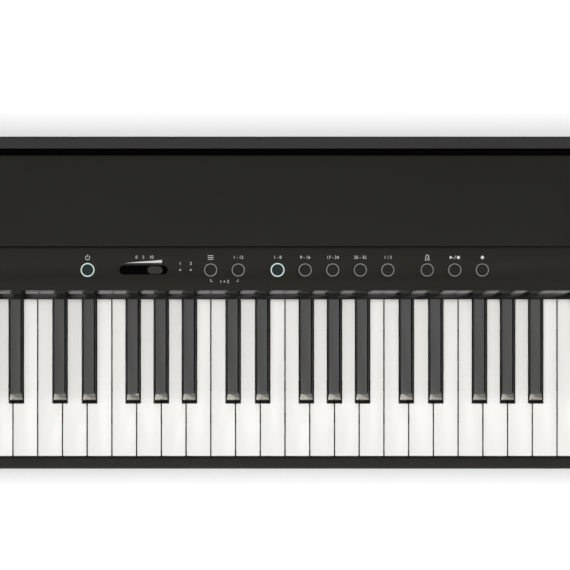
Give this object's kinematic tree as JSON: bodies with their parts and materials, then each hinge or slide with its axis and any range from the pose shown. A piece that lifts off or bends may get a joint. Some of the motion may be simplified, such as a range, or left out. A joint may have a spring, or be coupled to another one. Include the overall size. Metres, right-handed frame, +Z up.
{
  "type": "digital piano",
  "caption": "Slab digital piano: full-length weighted-style keyboard under a flat charcoal deck with round ringed buttons, a slot volume slider and a music rest groove.",
  "frame": {"origin": "middle of the footprint, on the surface that the rubber feet stand on", "axes": "+X along the keyboard from bass to treble, -Y towards the player, +Z up"},
  "size_m": [1.3, 0.315, 0.1292],
  "materials": {
    "case_charcoal": "fine-textured moulded charcoal",
    "panel_charcoal": "smooth satin charcoal",
    "rear_grey": "matte neutral dark grey",
    "gloss_black": "polished black",
    "key_white": "warm white, satin gloss",
    "key_black": "satin black",
    "button_cap": "smooth charcoal",
    "slider_grey": "dark grey",
    "light_guide": "milky clear plastic",
    "zinc_sheet": "zinc-coated sheet",
    "steel": "ground rod",
    "felt_red": "pressed felt",
    "circuit_board": "glass-epoxy board",
    "speaker_black": "black basket and cone",
    "socket_black": "moulded socket",
    "foot_rubber": "matt rubber"
  },
  "bodies": {
    "case": {"bottom_case": "case_charcoal", "left_end_block": "case_charcoal", "right_end_block": "case_charcoal", "control_panel": "panel_charcoal", "top_cover": "panel_charcoal", "rear_cap": "rear_grey", "key_cover_strip": "gloss_black", "key_frame": "zinc_sheet", "pivot_rod": "steel", "white_key_felt": "felt_red", "black_key_felt": "felt_red", "rest_felt": "felt_red", "contact_board": "circuit_board", "button_board": "circuit_board", "main_board": "circuit_board", "light_guide": "light_guide", "left_speaker": "speaker_black", "right_speaker": "speaker_black", "phones_jack": "socket_black", "pedal_jack": "socket_black", "front_left_foot": "foot_rubber", "front_right_foot": "foot_rubber", "rear_left_foot": "foot_rubber", "rear_right_foot": "foot_rubber"},
    "bass_white_keys": {"bass_white_keys": "key_white"},
    "bass_black_keys": {"bass_black_keys": "key_black"},
    "key_g3": {"key_g3": "key_white"},
    "key_g3_sharp": {"key_g3_sharp": "key_black"},
    "key_a3": {"key_a3": "key_white"},
    "key_a3_sharp": {"key_a3_sharp": "key_black"},
    "key_b3": {"key_b3": "key_white"},
    "key_c4": {"key_c4": "key_white"},
    "key_c4_sharp": {"key_c4_sharp": "key_black"},
    "key_d4": {"key_d4": "key_white"},
    "key_d4_sharp": {"key_d4_sharp": "key_black"},
    "key_e4": {"key_e4": "key_white"},
    "key_f4": {"key_f4": "key_white"},
    "key_f4_sharp": {"key_f4_sharp": "key_black"},
    "key_g4": {"key_g4": "key_white"},
    "key_g4_sharp": {"key_g4_sharp": "key_black"},
    "key_a4": {"key_a4": "key_white"},
    "key_a4_sharp": {"key_a4_sharp": "key_black"},
    "key_b4": {"key_b4": "key_white"},
    "key_c5": {"key_c5": "key_white"},
    "key_c5_sharp": {"key_c5_sharp": "key_black"},
    "key_d5": {"key_d5": "key_white"},
    "treble_black_keys": {"treble_black_keys": "key_black"},
    "treble_white_keys": {"treble_white_keys": "key_white"},
    "power_button": {"power_button": "button_cap"},
    "menu_button": {"menu_button": "button_cap"},
    "function_button": {"function_button": "button_cap"},
    "tone_button_1": {"tone_button_1": "button_cap"},
    "tone_button_2": {"tone_button_2": "button_cap"},
    "tone_button_3": {"tone_button_3": "button_cap"},
    "tone_button_4": {"tone_button_4": "button_cap"},
    "split_button": {"split_button": "button_cap"},
    "metronome_button": {"metronome_button": "button_cap"},
    "play_button": {"play_button": "button_cap"},
    "record_button": {"record_button": "button_cap"},
    "volume_slider": {"volume_slider": "slider_grey"}
  },
  "joints": [
    {"name": "bass_white_keys_press", "type": "hinge", "parent": "case", "child": "bass_white_keys", "pos_m": [0, 0.0695, 0.088], "axis": [1, 0, 0], "range_deg": [0, 2.7], "stiffness_Nm_per_rad": 9, "springref_deg": -28.65},
    {"name": "bass_black_keys_press", "type": "hinge", "parent": "case", "child": "bass_black_keys", "pos_m": [0, 0.0695, 0.088], "axis": [1, 0, 0], "range_deg": [0, 3.3], "stiffness_Nm_per_rad": 6.3, "springref_deg": -28.65},
    {"name": "key_g3_press", "type": "hinge", "parent": "case", "child": "key_g3", "pos_m": [0, 0.0695, 0.088], "axis": [1, 0, 0], "range_deg": [0, 2.7], "stiffness_Nm_per_rad": 0.45, "springref_deg": -28.65},
    {"name": "key_g3_sharp_press", "type": "hinge", "parent": "case", "child": "key_g3_sharp", "pos_m": [0, 0.0695, 0.088], "axis": [1, 0, 0], "range_deg": [0, 3.3], "stiffness_Nm_per_rad": 0.45, "springref_deg": -28.65},
    {"name": "key_a3_press", "type": "hinge", "parent": "case", "child": "key_a3", "pos_m": [0, 0.0695, 0.088], "axis": [1, 0, 0], "range_deg": [0, 2.7], "stiffness_Nm_per_rad": 0.45, "springref_deg": -28.65},
    {"name": "key_a3_sharp_press", "type": "hinge", "parent": "case", "child": "key_a3_sharp", "pos_m": [0, 0.0695, 0.088], "axis": [1, 0, 0], "range_deg": [0, 3.3], "stiffness_Nm_per_rad": 0.45, "springref_deg": -28.65},
    {"name": "key_b3_press", "type": "hinge", "parent": "case", "child": "key_b3", "pos_m": [0, 0.0695, 0.088], "axis": [1, 0, 0], "range_deg": [0, 2.7], "stiffness_Nm_per_rad": 0.45, "springref_deg": -28.65},
    {"name": "key_c4_press", "type": "hinge", "parent": "case", "child": "key_c4", "pos_m": [0, 0.0695, 0.088], "axis": [1, 0, 0], "range_deg": [0, 2.7], "stiffness_Nm_per_rad": 0.45, "springref_deg": -28.65},
    {"name": "key_c4_sharp_press", "type": "hinge", "parent": "case", "child": "key_c4_sharp", "pos_m": [0, 0.0695, 0.088], "axis": [1, 0, 0], "range_deg": [0, 3.3], "stiffness_Nm_per_rad": 0.45, "springref_deg": -28.65},
    {"name": "key_d4_press", "type": "hinge", "parent": "case", "child": "key_d4", "pos_m": [0, 0.0695, 0.088], "axis": [1, 0, 0], "range_deg": [0, 2.7], "stiffness_Nm_per_rad": 0.45, "springref_deg": -28.65},
    {"name": "key_d4_sharp_press", "type": "hinge", "parent": "case", "child": "key_d4_sharp", "pos_m": [0, 0.0695, 0.088], "axis": [1, 0, 0], "range_deg": [0, 3.3], "stiffness_Nm_per_rad": 0.45, "springref_deg": -28.65},
    {"name": "key_e4_press", "type": "hinge", "parent": "case", "child": "key_e4", "pos_m": [0, 0.0695, 0.088], "axis": [1, 0, 0], "range_deg": [0, 2.7], "stiffness_Nm_per_rad": 0.45, "springref_deg": -28.65},
    {"name": "key_f4_press", "type": "hinge", "parent": "case", "child": "key_f4", "pos_m": [0, 0.0695, 0.088], "axis": [1, 0, 0], "range_deg": [0, 2.7], "stiffness_Nm_per_rad": 0.45, "springref_deg": -28.65},
    {"name": "key_f4_sharp_press", "type": "hinge", "parent": "case", "child": "key_f4_sharp", "pos_m": [0, 0.0695, 0.088], "axis": [1, 0, 0], "range_deg": [0, 3.3], "stiffness_Nm_per_rad": 0.45, "springref_deg": -28.65},
    {"name": "key_g4_press", "type": "hinge", "parent": "case", "child": "key_g4", "pos_m": [0, 0.0695, 0.088], "axis": [1, 0, 0], "range_deg": [0, 2.7], "stiffness_Nm_per_rad": 0.45, "springref_deg": -28.65},
    {"name": "key_g4_sharp_press", "type": "hinge", "parent": "case", "child": "key_g4_sharp", "pos_m": [0, 0.0695, 0.088], "axis": [1, 0, 0], "range_deg": [0, 3.3], "stiffness_Nm_per_rad": 0.45, "springref_deg": -28.65},
    {"name": "key_a4_press", "type": "hinge", "parent": "case", "child": "key_a4", "pos_m": [0, 0.0695, 0.088], "axis": [1, 0, 0], "range_deg": [0, 2.7], "stiffness_Nm_per_rad": 0.45, "springref_deg": -28.65},
    {"name": "key_a4_sharp_press", "type": "hinge", "parent": "case", "child": "key_a4_sharp", "pos_m": [0, 0.0695, 0.088], "axis": [1, 0, 0], "range_deg": [0, 3.3], "stiffness_Nm_per_rad": 0.45, "springref_deg": -28.65},
    {"name": "key_b4_press", "type": "hinge", "parent": "case", "child": "key_b4", "pos_m": [0, 0.0695, 0.088], "axis": [1, 0, 0], "range_deg": [0, 2.7], "stiffness_Nm_per_rad": 0.45, "springref_deg": -28.65},
    {"name": "key_c5_press", "type": "hinge", "parent": "case", "child": "key_c5", "pos_m": [0, 0.0695, 0.088], "axis": [1, 0, 0], "range_deg": [0, 2.7], "stiffness_Nm_per_rad": 0.45, "springref_deg": -28.65},
    {"name": "key_c5_sharp_press", "type": "hinge", "parent": "case", "child": "key_c5_sharp", "pos_m": [0, 0.0695, 0.088], "axis": [1, 0, 0], "range_deg": [0, 3.3], "stiffness_Nm_per_rad": 0.45, "springref_deg": -28.65},
    {"name": "key_d5_press", "type": "hinge", "parent": "case", "child": "key_d5", "pos_m": [0, 0.0695, 0.088], "axis": [1, 0, 0], "range_deg": [0, 2.7], "stiffness_Nm_per_rad": 0.45, "springref_deg": -28.65},
    {"name": "treble_black_keys_press", "type": "hinge", "parent": "case", "child": "treble_black_keys", "pos_m": [0, 0.0695, 0.088], "axis": [1, 0, 0], "range_deg": [0, 3.3], "stiffness_Nm_per_rad": 6.3, "springref_deg": -28.65},
    {"name": "treble_white_keys_press", "type": "hinge", "parent": "case", "child": "treble_white_keys", "pos_m": [0, 0.0695, 0.088], "axis": [1, 0, 0], "range_deg": [0, 2.7], "stiffness_Nm_per_rad": 9, "springref_deg": -28.65},
    {"name": "power_button_press", "type": "slide", "parent": "case", "child": "power_button", "axis": [0, 0, -1], "range_m": [0, 0.001], "stiffness_N_per_m": 600, "springref_m": -0.001},
    {"name": "menu_button_press", "type": "slide", "parent": "case", "child": "menu_button", "axis": [0, 0, -1], "range_m": [0, 0.001], "stiffness_N_per_m": 600, "springref_m": -0.001},
    {"name": "function_button_press", "type": "slide", "parent": "case", "child": "function_button", "axis": [0, 0, -1], "range_m": [0, 0.001], "stiffness_N_per_m": 600, "springref_m": -0.001},
    {"name": "tone_button_1_press", "type": "slide", "parent": "case", "child": "tone_button_1", "axis": [0, 0, -1], "range_m": [0, 0.001], "stiffness_N_per_m": 600, "springref_m": -0.001},
    {"name": "tone_button_2_press", "type": "slide", "parent": "case", "child": "tone_button_2", "axis": [0, 0, -1], "range_m": [0, 0.001], "stiffness_N_per_m": 600, "springref_m": -0.001},
    {"name": "tone_button_3_press", "type": "slide", "parent": "case", "child": "tone_button_3", "axis": [0, 0, -1], "range_m": [0, 0.001], "stiffness_N_per_m": 600, "springref_m": -0.001},
    {"name": "tone_button_4_press", "type": "slide", "parent": "case", "child": "tone_button_4", "axis": [0, 0, -1], "range_m": [0, 0.001], "stiffness_N_per_m": 600, "springref_m": -0.001},
    {"name": "split_button_press", "type": "slide", "parent": "case", "child": "split_button", "axis": [0, 0, -1], "range_m": [0, 0.001], "stiffness_N_per_m": 600, "springref_m": -0.001},
    {"name": "metronome_button_press", "type": "slide", "parent": "case", "child": "metronome_button", "axis": [0, 0, -1], "range_m": [0, 0.001], "stiffness_N_per_m": 600, "springref_m": -0.001},
    {"name": "play_button_press", "type": "slide", "parent": "case", "child": "play_button", "axis": [0, 0, -1], "range_m": [0, 0.001], "stiffness_N_per_m": 600, "springref_m": -0.001},
    {"name": "record_button_press", "type": "slide", "parent": "case", "child": "record_button", "axis": [0, 0, -1], "range_m": [0, 0.001], "stiffness_N_per_m": 600, "springref_m": -0.001},
    {"name": "volume_slide", "type": "slide", "parent": "case", "child": "volume_slider", "axis": [1, 0, 0], "range_m": [-0.0264, 0.0044]}
  ]
}
